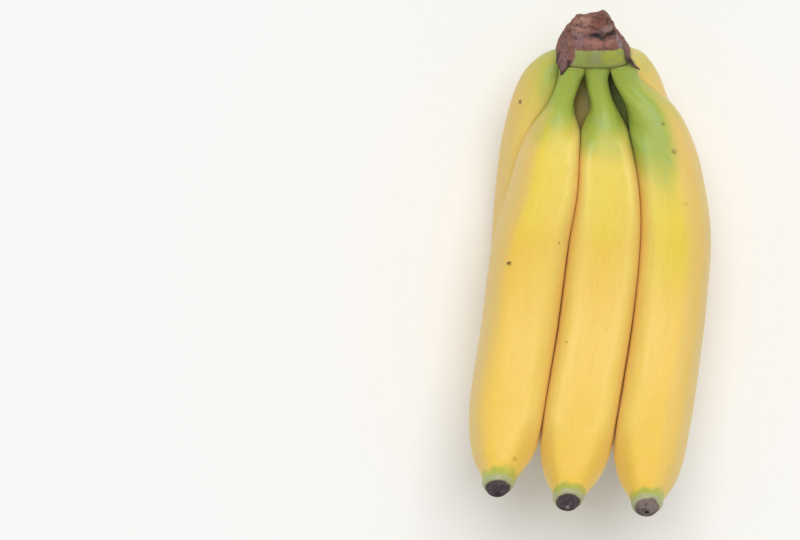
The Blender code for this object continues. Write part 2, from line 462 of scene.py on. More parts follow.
@dataclass(frozen=True)
class PeelZones:
    """Where each shade of a peel is gone and where it is full.

    Flanks and faces go by the sine or the cosine of the turn, and the rest by millimetres. The left flank's
    sines are turned round. The painted shade of the creases and the painted fill light of the pressed flanks
    go by how soon they fade beside a neighbour.
    """

    wobble: Lumps = Lumps(6.0, (9.0, 9.0, 22.0))
    tip_wobble: Lumps = Lumps(0.8, (3.0, 3.0, 6.0))
    patches: Lumps = Lumps(1.0, (3.4, 3.4, 5.0))
    torn_flank: Lumps = Lumps(0.1, (5.0, 5.0, 40.0))
    right_flank: float = 0.7
    left_flank: Pair = (0.1, 0.7)
    # The tan zones place tan that is partly the peel's own colour and partly painted shade on the flanks
    # turned from the light
    left_tan: Pair = (0.4, 0.65)
    right_tan: Pair = (0.12, 0.52)
    tan_wanes: Pair = (130.0, 220.0)
    tan_waning: float = 0.4
    tan_hides: float = 0.8
    young: Pair = (55.0, 10.0)
    young_wobble: float = 2.0
    young_face: Pair = (0.9, 0.5)
    # covered and covered_face place the painted shade on the back row where the front row covers it
    covered: Pair = (65.0, 40.0)
    covered_face: Pair = (0.2, -0.3)
    # How far the painted shade of a crease reaches from a neighbour
    touch: float = 1.0
    # How far the painted fill light on a pressed flank reaches from a neighbour
    pressed: float = 5.0
    # Where the painted shade under the crown's lip ends on the necks
    lip_crease: Pair = (1.2, 0.3)
    tip_green_until: float = 8.5
    tip_green: Pair = (2.0, 3.5)
    tip_green_patchy: float = 0.45
    pale_from: Pair = (1.0, 2.2)
    pale_to: Pair = (7.5, 4.5)
    pale_share: Triple = (0.85, 0.6, 0.4)
    rim: Pair = (2.0, 0.5)
    rim_face: Pair = (-0.1, 0.4)
    dry: Pair = (3.2, 2.0)
    scar: Pair = (1.5, 0.4)


ZONES = PeelZones()


@dataclass(frozen=True)
class Banana:
    """One fruit of the hand, from its neck under the crown to its blossom end, in millimetres."""

    name: str
    row: Row
    length: float
    full_half_width: float
    neck_cut: float
    roll: float
    route: Curve
    ripeness: Ripeness
    freckles: tuple[Freckle, ...] = ()
    left_fullness: Curve = Curve(((0.0, 0.0), (1.0, 0.0)))

    @property
    def slot(self) -> Slot:
        """The material slot of the fruit's row."""
        return Slot.FRONT_PEEL if self.row is Row.FRONT else Slot.BACK_PEEL

    def centre(self, along: Array) -> Array:
        """Where the fruit's centre line runs.

        Args:
            along: Distances from the crown's lip.

        Returns:
            Across and deep, last.
        """
        at_crown, in_body = self.row.value
        rise = NUB_RISE * np.clip(1.0 - (self.length - along) / TIP_ZONE, 0.0, None) ** 2
        deep = at_crown + (in_body - at_crown) * fade(along, *ROWS_PART) - rise
        return np.stack((self.route(along), deep), axis=-1)

    def half_width(self, along: Array) -> Array:
        """Half the fruit's width at each distance from the crown."""
        return self.full_half_width * NECK_GIRTH(along + self.neck_cut) * TIP_GIRTH(self.length - along)

    def root_spread(self, along: Array) -> Array:
        """How far a front neck spreads sideways where it meets the crown, as a share of its width."""
        share = ROOT_SPREAD if self.row is Row.FRONT else 0.0
        return share * fade(along, ROOT_RUN, 0.0)

    def ridged(self, along: Array) -> Array:
        """How far the section has its ridges: not at the round neck or tip, and fully in the body."""
        return fade(along, *RIDGES_FROM) * fade(self.length - along, *RIDGES_TO)

    def relief(self, along: Array, turn: Array, radius: Array) -> Array:
        """The low relief of the peel, over the plain section.

        Args:
            along: Distances from the crown's lip.
            turn: Places round the fruit.
            radius: The plain section's radius there.

        Returns:
            Heights in millimetres.
        """
        seed = SEED_SPREAD * self.full_half_width + self.length
        straight = straighten(turn, radius, along + seed)
        from_tip = self.length - along
        dents = sum(lumps.at(straight) for lumps in DENTS) * fade(from_tip, *DENTED)
        edge = RIDGE_HEIGHT * SECTION.ridge(turn - math.radians(self.roll)) * self.ridged(along)
        furrows = FURROWS.at(straight) * fade(along + self.neck_cut, *FURROWED)
        return dents + edge + furrows + BLOSSOM_END.relief(from_tip, turn, straight)

    def contacts(self, along: Array, gap: float) -> list[tuple["Banana", Array, Array]]:
        """Where the fruit meets each of the others.

        Args:
            along: Distances from the crown's lip, one for each ring.
            gap: How far the two flanks stay apart.

        Returns:
            For each other fruit: the fruit, the direction to it, and how far this one may reach that way.
        """
        middle = self.centre(along)
        own = self.half_width(along)
        found = []
        for other in HAND:
            if other is self:
                continue
            towards = other.centre(along) - middle
            apart = np.linalg.norm(towards, axis=-1)
            theirs = other.half_width(along)
            limit = (apart ** 2 + own ** 2 - theirs ** 2) / (2.0 * apart) - 0.5 * gap
            limit = np.where(along <= other.length, limit, FAR)
            found.append((other, towards / apart[:, None], limit[:, None]))
        return found

    def shoulder(self, along: Array, spot: Array, detail: Detail) -> Array:
        """Square the fruit's shoulders beside its neighbours of the same row, on the hand's outer side.

        Args:
            along: Distances from the crown's lip, one for each ring.
            spot: Across and deep of each point of each ring.
            detail: How the fruit is drawn.

        Returns:
            The points, with the shoulders raised.
        """
        is_front = self.row is Row.FRONT
        outer = -1.0 if is_front else 1.0
        middle = self.centre(along)[:, None]
        raised = spot
        for other, towards, limit in self.contacts(along, detail.touch_gap):
            if (other.row is Row.FRONT) is not is_front:
                continue
            outward = np.stack((-towards[:, 1], towards[:, 0]), axis=-1) * (outer * np.sign(towards[:, :1]))
            reach = reach_to(towards, spot - middle)
            height = reach_to(outward, spot - middle)
            closeness = bell(np.clip(limit - reach, 0.0, None), 0.0, SHOULDER_RUN)
            overlap = fade(self.half_width(along)[:, None] - limit, *SHOULDER_OVERLAP)
            begun = fade(along, *SHOULDER_FROM)[:, None]
            rise = SHOULDER_RISE * closeness * overlap * begun * fade(height, *SHOULDER_FACE)
            raised = raised + outward[:, None] * rise[..., None]
        return raised

    def press(self, along: Array, spot: Array, detail: Detail) -> tuple[Array, Array]:
        """Flatten the flanks where the fruit meets its neighbours.

        Args:
            along: Distances from the crown's lip, one for each ring.
            spot: Across and deep of each point of each ring.
            detail: How the fruit is drawn.

        Returns:
            The pressed points, and how far each is from the nearest neighbour.
        """
        middle = self.centre(along)[:, None]
        soft = detail.press_softness
        away = np.full(spot.shape[:2], FAR)
        for _, towards, limit in self.contacts(along, detail.touch_gap):
            reach = reach_to(towards, spot - middle)
            eased = reach - soft * np.logaddexp(0.0, (reach - limit) / soft)
            spot = spot + towards[:, None] * (eased - reach)[..., None]
            away = np.minimum(away, np.clip(limit - reach, 0.0, None))
        return spot, away

    def skin(self, detail: Detail) -> Skin:
        """Draw the fruit's skin about the bend line.

        Args:
            detail: How finely to draw it.

        Returns:
            The skin, in millimetres from the bend's lowest point.
        """
        along = detail.stations(self.length)
        turn = np.linspace(0.0, 2.0 * math.pi, detail.sides, endpoint=False)
        ridges = (SECTION.share(turn - math.radians(self.roll)) - 1.0)[None] * self.ridged(along)[:, None]
        radius = self.half_width(along)[:, None] * (1.0 + ridges)
        rows, turns = np.meshgrid(along, turn, indexing="ij")
        if detail.relief:
            radius = radius + self.relief(rows, turns, radius)
            shrunk = 1.0 - np.clip((self.length - rows) / BLOSSOM_END.dome_run, 0.0, 1.0)
            radius = radius * np.sqrt(1.0 - (BLOSSOM_END.dome_share * shrunk) ** 2)
            rows = rows + BLOSSOM_END.dome_reach * shrunk ** 2
            rows, turns, radius = self.close_end(rows, turns, radius)
            along = rows[:, 0]
        spread = 1.0 + self.root_spread(rows)
        outward = np.stack((np.sin(turns) * spread, np.cos(turns) * SECTION.depth_share), axis=-1)
        held = np.minimum(along, self.length)
        spot = self.centre(held)[:, None] + outward * radius[..., None]
        if detail.relief:
            spot = self.shoulder(held, spot, detail)
            spot[..., 0] -= self.left_fullness(held)[:, None] * fade(np.sin(turns), *LEFT_SIDE)
        spot, away = self.press(held, spot, detail)
        facts = self.facts(rows, turns, radius, away)
        return Skin(BEND.place(spot[..., 0], rows, spot[..., 1]), facts)

    def close_end(self, rows: Array, turns: Array, radius: Array) -> tuple[Array, ...]:
        """Add the rings of the cupped blossom end, with the scar of the style at its middle.

        Args:
            rows: Distances from the crown's lip, for each point.
            turns: Places round the fruit.
            radius: Radii.

        Returns:
            The three, with the end's rings added.
        """
        end = BLOSSOM_END
        shares = np.array(end.cup_shares)
        inner = radius[-1:] * shares[:, None]
        turned = np.repeat(turns[-1:], len(shares), axis=0)
        depth = np.repeat(end.cup(shares)[:, None], turns.shape[1], axis=1)
        flat = straighten(turned, inner, np.full_like(inner, self.length))
        depth = depth + end.cup_lumps.at(flat) * np.sin(math.pi * shares)[:, None]
        rows = np.concatenate((rows, rows[-1:] + depth))
        return rows, np.concatenate((turns, turned)), np.concatenate((radius, inner))

    def facts(self, rows: Array, turns: Array, radius: Array, away: Array) -> dict:
        """What the peel's finish needs to know at each point.

        Args:
            rows: Distances from the crown's lip.
            turns: Places round the fruit.
            radius: Radii.
            away: How far each point is from the nearest neighbour.

        Returns:
            The facts by name: the straightened place, and masks of nought to one.
        """
        straight = straighten(turns, radius, rows)
        side, outer = np.sin(turns), np.cos(turns)
        ripe, zones, end = self.ripeness, ZONES, BLOSSOM_END
        wobble = zones.wobble.at(straight)
        on_right = fade(side, ripe.right_from, ripe.right_from + zones.right_flank)
        sooner = ripe.right_sooner * on_right + ripe.left_sooner * fade(-side, *zones.left_flank)
        green = fade(rows + wobble + sooner, ripe.green_gone, ripe.green_full)
        young = rows + zones.young_wobble * wobble - ripe.green_gone
        from_tip = np.clip(self.length - rows, 0.0, None) + zones.tip_wobble.at(straight)
        patchy = zones.patches.at(straight)
        fading = (from_tip - zones.tip_green_until) / (ripe.tip_green - zones.tip_green_until)
        fading = 1.0 - ease(fading + zones.tip_green_patchy * patchy)
        # Painted shade on the back row's hollow side near the crown, where the front row covers it
        covered = (1.0 - on_right) * fade(rows, *zones.covered) * fade(outer, *zones.covered_face)
        # The tan is partly the peel's own colour and partly painted shade on the flanks turned from the light
        ragged = side + zones.torn_flank.at(straight)
        tan_and_shade = ripe.tan_left * fade(-ragged, *zones.left_tan) + ripe.tan_right * fade(ragged, *zones.right_tan)
        tan_and_shade = tan_and_shade * (1.0 - zones.tan_waning * fade(rows, *zones.tan_wanes)) + ripe.tan_all
        tan_and_shade = np.clip(tan_and_shade, 0.0, 1.0)
        bare = (1.0 - green) * (1.0 - zones.tan_hides * tan_and_shade)
        # touch fades out from each neighbour and places the painted shade of the creases
        touch = np.exp(-away / zones.touch)
        rim = radius[-1 - len(end.cup_shares)]
        inside = (rows > self.length - end.cup_depth) & (radius < end.rim_share * rim)
        pale, pale_patchy, pale_least = zones.pale_share
        pale = np.clip(pale - pale_patchy * patchy, pale_least, 1.0)
        return {
            "straight": straight,
            "green": green,
            "young": fade(young, *zones.young) * fade(np.abs(side), *zones.young_face),
            "tan_and_shade": tan_and_shade,
            # Painted shade where the front row covers the back row
            "covered_shade": ripe.covered_shade * covered,
            # Painted shade in the creases between the fruits
            "crease_shade": touch * bare,
            # Painted shade in the creases of the green neck, and under the crown's lip
            "green_crease": np.maximum(touch * green, fade(rows - NECK_TOP, *zones.lip_crease)),
            # Painted fill light on the flanks beside a neighbour
            "pressed": np.exp(-away / zones.pressed) * bare,
            "tip_green": fade(from_tip, *zones.tip_green) * fading,
            "pale": pale * fade(from_tip, *zones.pale_from) * fade(from_tip, *zones.pale_to),
            "scar": inside * fade(radius, *zones.scar),
            "rim": ~inside * fade(outer, *zones.rim_face) * fade(from_tip, *zones.rim),
            "dry": np.where(inside, 1.0, fade(from_tip, *zones.dry)),
        }

    def build(self, datum: Array) -> bpy.types.Object:
        """Build the fruit in the frame, in place of its faceted solid.

        Args:
            datum: Where the bend's lowest point lies in the frame, in metres.

        Returns:
            The fruit.
        """
        skin = self.skin(FINE)
        skin.points = skin.points * MM + datum
        if self.row is not Row.FRONT:
            soft = REST_SOFTNESS * MM
            height = skin.points[..., 2]
            skin.points[..., 2] = soft * np.logaddexp(0.0, height / soft)
        thing = skin.make_object(f"{self.name}_peel", RipePeel(self).material())
        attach(thing, BODY)
        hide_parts(self.name)
        return thing


HAND = (
    Banana(
        "banana_front_left", Row.FRONT, length=225.2, full_half_width=17.8, neck_cut=1.0, roll=4.0,
        route=Curve(((0, -7.6), (10, -10.6), (24, -15.0), (38, -17.6), (59, -20.9), (87, -27.2),
                     (128, -32.2), (168, -37.7), (192, -40.0), (225.2, -43.4))),
        ripeness=Ripeness(19.0, 42.0, tip_green=14.0, left_sooner=5.0, tan_left=1.0, end_grey=0.35,
                          style_scar="#342b2c"),
        freckles=(Freckle(96, -149, 2.6, 0.9), Freckle(85, 138, 1.6, 0.6), Freckle(208, 142, 2.4, 0.5))),
    Banana(
        "banana_front_middle", Row.FRONT, length=235.0, full_half_width=17.3, neck_cut=0.0, roll=0.0,
        route=Curve(((0, 2.0), (10, 2.7), (25, 5.9), (40, 6.6), (60, 7.8), (87, 6.4),
                     (128, 2.3), (168, -3.7), (200, -7.9), (235, -12.0))),
        ripeness=Ripeness(25.0, 50.0, tip_green=11.5, end_grey=0.3, style_scar="#a3918a"),
        freckles=(Freckle(140, -137, 1.5, 0.7), Freckle(108, -179, 1.5, 0.3))),
    Banana(
        "banana_front_right", Row.FRONT, length=239.0, full_half_width=17.1, neck_cut=10.5, roll=-4.0,
        route=Curve(((0, 13.4), (9, 18.0), (20, 26.8), (34, 31.5), (51, 35.3), (84, 38.7),
                     (119, 36.7), (159, 31.8), (195, 26.6), (239, 23.4))),
        ripeness=Ripeness(32.0, 72.0, tip_green=14.0, right_sooner=36.0, right_from=0.04, tan_right=1.0,
                          end_grey=0.85),
        freckles=(Freckle(25, 163, 1.6, 0.6), Freckle(38, 161, 2.4, 0.52), Freckle(64, 160, 1.8, 0.4)),
        left_fullness=Curve(((0.0, 0.8), (2.6, 2.2), (5.0, 2.4), (12.8, 2.6), (16.2, 2.4), (19.6, 1.4),
                             (23.0, 0.45), (27.0, 0.0)))),
    Banana(
        "banana_back_left", Row.BACK, length=190.0, full_half_width=17.0, neck_cut=21.0, roll=3.0,
        route=Curve(((0, -9.9), (4, -16.6), (9, -19.4), (15, -20.6), (30, -22.6), (60, -25.6),
                     (90, -27.4), (140, -29.6), (170, -32.8), (190, -37.0))),
        ripeness=Ripeness(-4.0, 40.0, left_sooner=11.0, tan_left=0.3, tan_all=0.5),
        freckles=(Freckle(22, -128, 2.2, 0.8), Freckle(70, -60, 1.8, 0.6), Freckle(120, 20, 2.2, 0.7))),
    Banana(
        "banana_back_middle", Row.BACK_MIDDLE, length=186.0, full_half_width=15.2, neck_cut=7.0, roll=0.0,
        route=Curve(((0, -0.8), (15, -0.6), (30, 0.4), (60, 4.2), (90, 5.2), (140, 2.4), (186, -3.6))),
        ripeness=Ripeness(-20.0, 20.0, right_from=2.0, tan_all=0.9, covered_shade=0.62),
        freckles=(Freckle(88, 12, 1.8, 0.6), Freckle(131, -24, 1.4, 0.5))),
    Banana(
        "banana_back_right", Row.BACK, length=194.0, full_half_width=17.0, neck_cut=26.0, roll=-3.0,
        route=Curve(((0, 10.6), (3, 16.5), (6, 17.5), (10, 18.6), (15, 19.8), (20, 20.7), (30, 23.4),
                     (45, 28.4), (60, 33.0), (90, 36.8), (119, 35.6), (159, 31.0), (194, 26.0))),
        ripeness=Ripeness(28.0, 60.0, right_sooner=46.0, right_from=-0.35, tan_right=0.2, tan_all=0.72,
                          covered_shade=0.95),
        freckles=(Freckle(76, 40, 2.0, 0.6), Freckle(104, -12, 1.6, 0.5), Freckle(150, 25, 2.4, 0.7))),
)


def find_datum() -> Array:
    """Find the bend's lowest point in the frame, by drawing one fruit as the frame has it.

    Returns:
        The point, in metres.
    """
    fruit = HAND[0]
    drawn = fruit.skin(FACETED).points.reshape(-1, 3).min(axis=0) * MM
    return np.array(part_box(fruit.name)[0]) - drawn


def srgb(code: str) -> tuple[float, float, float, float]:
    """Turn an sRGB hex colour into a linear one.

    Args:
        code: The colour, as a hash sign and six hex digits.

    Returns:
        Red, green, blue and one for alpha.
    """
    values = [int(code[i:i + 2], 16) / 255.0 for i in (1, 3, 5)]
    linear = [v / 12.92 if v <= 0.04045 else ((v + 0.055) / 1.055) ** 2.4 for v in values]
    return (*linear, 1.0)


def add_node(tree: bpy.types.NodeTree, kind: str, links: dict | None = None, **settings) -> bpy.types.Node:
    """Add one node to a material.

    Args:
        tree: The material's node tree.
        kind: The node's type.
        links: For each of its inputs, by name or number, a value or the output that feeds it.
        settings: The node's own settings.

    Returns:
        The node.
    """
    node = tree.nodes.new(kind)
    for name, value in settings.items():
        setattr(node, name, value)
    for name, value in (links or {}).items():
        socket = node.inputs[name]
        if isinstance(value, Socket):
            tree.links.new(value, socket)
        else:
            socket.default_value = value
    return node


# The sockets of a Mix node that mixes colours, and how strong the finer lumps of a grain are
MIX_SHARE, MIX_UNDER, MIX_OVER, MIX_RESULT = 0, 6, 7, 2
LUMP_ROUGHNESS = 0.55


@dataclass(frozen=True)
class Grain:
    """A pattern of soft lumps on the straightened body.

    It has the lumps' size in millimetres, how many finer lumps lie on them, and where in the noise it is
    gone and where it is full.
    """

    size: Triple
    detail: float
    none: float
    full: float


@dataclass(frozen=True)
class Layer:
    """One colour of a finish: sRGB hex, how far it covers, and the fact, the grain or both that mask it."""

    colour: str
    strength: float
    fact: str = ""
    grain: Grain | None = None


class Coat:
    """A material in the making: layers of colour, laid one over another by masks."""

    def __init__(self, name: str, base: str) -> None:
        """Start from a plain base colour.

        Args:
            name: The material's name.
            base: The colour, as sRGB hex.
        """
        self.material = bpy.data.materials.new(name)
        self.material.use_nodes = True
        self.tree = self.material.node_tree
        self.shader = self.tree.nodes["Principled BSDF"]
        self.colour = srgb(base)

    def fact(self, name: str, output: str = "Fac") -> Socket:
        """Read a fact that the skin holds at each point."""
        return add_node(self.tree, "ShaderNodeAttribute", attribute_name=name).outputs[output]

    def grain(self, grain: Grain) -> Socket:
        """Make the mask of a grain.

        Args:
            grain: The pattern.

        Returns:
            The mask, nought to one.
        """
        scaled = add_node(self.tree, "ShaderNodeVectorMath", operation="MULTIPLY", links={
            0: self.fact("straight", "Vector"), 1: tuple(1.0 / length for length in grain.size)})
        lumps = add_node(self.tree, "ShaderNodeTexNoise", links={
            "Vector": scaled.outputs[0], "Scale": 1.0, "Detail": grain.detail, "Roughness": LUMP_ROUGHNESS})
        return add_node(self.tree, "ShaderNodeMapRange", interpolation_type="SMOOTHSTEP", links={
            "Value": lumps.outputs[0], "From Min": grain.none, "From Max": grain.full}).outputs[0]

    def cover(self, colour: str, mask: Socket, strength: float) -> None:
        """Lay one colour over what is there.

        Args:
            colour: The colour, as sRGB hex.
            mask: Where it covers.
            strength: How far it covers there.
        """
        share = add_node(self.tree, "ShaderNodeMath", operation="MULTIPLY", links={0: mask, 1: strength})
        self.colour = add_node(self.tree, "ShaderNodeMix", data_type="RGBA", links={
            MIX_SHARE: share.outputs[0], MIX_UNDER: self.colour, MIX_OVER: srgb(colour)}).outputs[MIX_RESULT]

    def lay(self, *layers: Layer) -> None:
        """Lay layers over what is there.

        Args:
            layers: The layers, from the lowest up.
        """
        for layer in layers:
            masks = [self.fact(layer.fact)] if layer.fact else []
            masks += [self.grain(layer.grain)] if layer.grain else []
            if len(masks) > 1:
                masks = [add_node(self.tree, "ShaderNodeMath", operation="MULTIPLY",
                                  links=dict(enumerate(masks))).outputs[0]]
            self.cover(layer.colour, masks[0], layer.strength)

    def close(self, gloss: Socket | float, height: Socket, rise: float) -> bpy.types.Material:
        """Set the colour, the gloss and the fine relief on the shader.

        Args:
            gloss: The roughness, or one number where it is the same all over.
            height: The fine relief, nought to one.
            rise: How high one is, in millimetres.

        Returns:
            The finished material.
        """
        bump = add_node(self.tree, "ShaderNodeBump", links={
            "Height": height, "Distance": rise * MM, "Strength": 1.0})
        self.tree.links.new(self.colour, self.shader.inputs["Base Color"])
        if isinstance(gloss, float):
            self.shader.inputs["Roughness"].default_value = gloss
        else:
            self.tree.links.new(gloss, self.shader.inputs["Roughness"])
        self.tree.links.new(bump.outputs[0], self.shader.inputs["Normal"])
        return self.material


@dataclass(frozen=True)
class RipePeel:
    """Ripe banana peel: a thin waxy skin over parallel fibres, which browns where it is rubbed or dry.

    The layers lie on the ripe yellow from the lowest up: golden and lemon clouds, the lemon of the young
    part, the tanned flanks (partly the peel's own colour and partly painted shade on the flanks turned from
    the light), the green neck and its greyer patches, the green of the tip, painted fill light on the flanks
    pressed against a neighbour, painted shade where the front row covers the back row, painted shade in the
    creases and under the crown's lip, the fibres, and faint specks. Real fibres are finer than a pixel, so
    they are drawn as coarse as they need to be to show as soft lengthwise streaks.
    """

    fruit: Banana
    yellow: str = "#f4cd50"
    fibres: Grain = Grain((0.8, 0.8, 18.0), 3.0, 0.5, 0.75)
    fibre_height: float = 0.05
    layers: tuple[Layer, ...] = (
        Layer("#f0bf3e", 0.35, grain=Grain((22.0, 22.0, 45.0), 4.0, 0.45, 0.75)),
        Layer("#eed73a", 0.4, grain=Grain((14.0, 14.0, 30.0), 4.0, 0.52, 0.78)),
        Layer("#eed73a", 0.75, "young"),
        # Tan: partly the peel's own colour, partly painted shade on the flanks turned from the light
        Layer("#ecca70", 1.0, "tan_and_shade"),
        Layer("#a9bc4b", 1.0, "green"),
        Layer("#9cb664", 0.5, "green", Grain((6.0, 6.0, 14.0), 3.0, 0.48, 0.68)),
        Layer("#a5b94b", 0.85, "tip_green"),
        # Painted fill light on the flanks pressed against a neighbour
        Layer("#ffea96", 0.92, "pressed"),
        # Painted shade where the front row covers the back row
        Layer("#66704f", 1.0, "covered_shade"),
        # Painted shade in the creases between the fruits
        Layer("#e39a30", 0.5, "crease_shade"),
        # Painted shade in the creases of the green neck, and under the crown's lip
        Layer("#7f8f35", 0.6, "green_crease"),
        Layer("#e3b650", 0.22, grain=fibres),
        Layer("#703a10", 0.25, grain=Grain((1.1, 1.1, 1.4), 1.0, 0.74, 0.8)),
    )
    freckle: str = "#703a10"
    faint_freckle: str = "#c07d25"
    faint_until: float = 0.5
    freckle_tear: float = 0.8
    freckle_edge: Pair = (1.15, 0.55)
    freckle_grain: float = 0.9
    pale_ring: Layer = Layer("#b0b496", 0.8, "pale")
    dry_bract: Layer = Layer("#41363a", 1.0, "dry")
    rim: Layer = Layer("#1f1a1b", 0.85, "rim")
    dust: str = "#8a7a72"
    dust_grain: Grain = Grain((2.6, 2.6, 2.6), 3.0, 0.6, 0.86)
    dust_gain: float = 0.4
    translucence: float = 0.4
    light_depth: float = 3.5
    light_spread: Triple = (1.0, 0.55, 0.15)
    wax_sheen: float = 0.05
    waxy: float = 0.44
    matt: float = 0.85

    def material(self) -> bpy.types.Material:
        """Lay the peel's colours from the ripe ground out to the dried end.

        Returns:
            The material. It looks waxy and soft, with a broad sheen and fine lengthwise fibres.
        """
        coat = Coat(f"ripe_peel_{self.fruit.name}", self.yellow)
        coat.lay(*self.layers)
        for freckle in self.fruit.freckles:
            self.spot(coat, freckle)
        ripe = self.fruit.ripeness
        more, grain = self.dust_gain * ripe.end_grey, self.dust_grain
        dusty = replace(grain, none=grain.none - more, full=grain.full - more)
        coat.lay(self.pale_ring, self.dry_bract, Layer(self.dust, ripe.end_grey, "dry", dusty), self.rim,
                 Layer(ripe.style_scar, 1.0, "scar"))
        shader = coat.shader.inputs
        shader["Sheen Weight"].default_value = self.wax_sheen
        shader["Subsurface Weight"].default_value = self.translucence
        shader["Subsurface Radius"].default_value = self.light_spread
        shader["Subsurface Scale"].default_value = self.light_depth * MM
        gloss = add_node(coat.tree, "ShaderNodeMapRange", links={
            "Value": coat.fact("dry"), "To Min": self.waxy, "To Max": self.matt})
        return coat.close(gloss.outputs[0], coat.grain(self.fibres), self.fibre_height)

    def spot(self, coat: Coat, freckle: Freckle) -> None:
        """Lay one freckle, ragged at its edge.

        Args:
            coat: The material in the making.
            freckle: The spot.
        """
        turn = math.radians(freckle.turn)
        radius = float(self.fruit.half_width(np.array([freckle.along]))[0])
        place = (math.sin(turn) * radius, math.cos(turn) * radius, freckle.along)
        straight = coat.fact("straight", "Vector")
        outer, inner = self.freckle_edge
        rough = add_node(coat.tree, "ShaderNodeTexNoise", links={
            "Vector": straight, "Scale": self.freckle_grain, "Detail": 2.0})
        apart = add_node(coat.tree, "ShaderNodeVectorMath", operation="DISTANCE", links={
            0: straight, 1: place})
        ragged = add_node(coat.tree, "ShaderNodeMath", operation="MULTIPLY_ADD", links={
            0: rough.outputs[0], 1: self.freckle_tear * freckle.size, 2: apart.outputs["Value"]})
        mask = add_node(coat.tree, "ShaderNodeMapRange", interpolation_type="SMOOTHSTEP", links={
            "Value": ragged.outputs[0], "From Min": outer * freckle.size, "From Max": inner * freckle.size})
        colour = self.freckle if freckle.darkness > self.faint_until else self.faint_freckle
        coat.cover(colour, mask.outputs[0], freckle.darkness)


@dataclass(frozen=True)
class Fold:
    """A shrunken furrow of the cut, on its front: a level line with a sag and a waver, in millimetres.

    It starts and ends by its share of the way across, and goes round the front by the cosine of the turn.
    """

    left: float
    right: float
    height: float
    sag: float
    depth: float
    width: float
    waver: Pair = (0.35, 0.9)
    start: Pair = (0.0, 0.45)
    end: Pair = (1.0, 0.85)
    front: Pair = (0.0, -0.4)

    def furrow(self, across: Array, height: Array, out: Array) -> Array:
        """How deep the fold is.

        Args:
            across: Measures to the right.
            height: Heights above the lip.
            out: Cosines of the turn.

        Returns:
            Depths in millimetres.
        """
        t = (across - self.left) / (self.right - self.left)
        rise, turn = self.waver
        line = self.height - self.sag * 4.0 * t * (1.0 - t) + rise * np.sin(turn * across + self.height)
        reach = fade(t, *self.start) * fade(t, *self.end) * fade(out, *self.front)
        return self.depth * reach * bell(height, line, self.width)


@dataclass(frozen=True)
class Patch:
    """A patch of colour on the crown's front: its middle, its half size in millimetres, and its strength."""

    name: str
    across: float
    height: float
    wide: float
    tall: float
    colour: str
    strength: float
    edge: Pair = (1.2, 0.45)

    @property
    def layer(self) -> Layer:
        """The patch's layer of colour."""
        return Layer(self.colour, self.strength, self.name)

    def mask(self, across: Array, height: Array, ragged: Array) -> Array:
        """Where the patch covers, nought to one, with an edge torn by ragged."""
        apart = np.hypot((across - self.across) / self.wide, (height - self.height) / self.tall)
        return fade(apart + ragged, *self.edge)


PAD_PATCHES = (
    Patch("pad_grey_streak", 1.6, 4.6, 2.8, 5.5, "#97996c", 0.6),
    Patch("pad_edge", -8.4, 5.0, 1.8, 5.0, "#aea97a", 0.7),
    Patch("pad_bright", 8.6, 5.6, 5.2, 3.2, "#aaae3c", 0.85),
    Patch("pad_left", -6.0, 5.0, 3.6, 4.0, "#98a84f", 0.7),
)

CORK_PATCHES = (
    Patch("fresh_cut", -4.8, 15.8, 5.0, 3.2, "#b98878", 0.95),
    Patch("red_cut", 4.4, 16.4, 4.6, 2.4, "#84503f", 0.9),
    Patch("dark_corner", 8.6, 16.6, 1.8, 1.8, "#583531", 0.8),
    Patch("shrunk_band", 3.0, 13.5, 9.0, 1.2, "#57434a", 0.8),
    # Painted highlight: a pale grey patch below the shrunken band
    Patch("grey_highlight", 7.4, 14.3, 3.4, 1.0, "#a0867e", 0.7),
    Patch("mauve", -6.4, 11.8, 3.4, 2.6, "#8d6d72", 0.85),
    Patch("swollen_lip", 3.6, 11.0, 8.5, 1.5, "#a87267", 0.95),
    # Painted highlight along the crown's right edge
    Patch("right_edge_highlight", 12.9, 11.6, 2.2, 4.6, "#a5949a", 0.7),
    Patch("left_flank", -11.6, 11.5, 3.6, 5.0, "#84594c", 0.8),
    Patch("left_leg", -12.6, 4.0, 2.4, 5.5, "#8d6a66", 0.9),
)


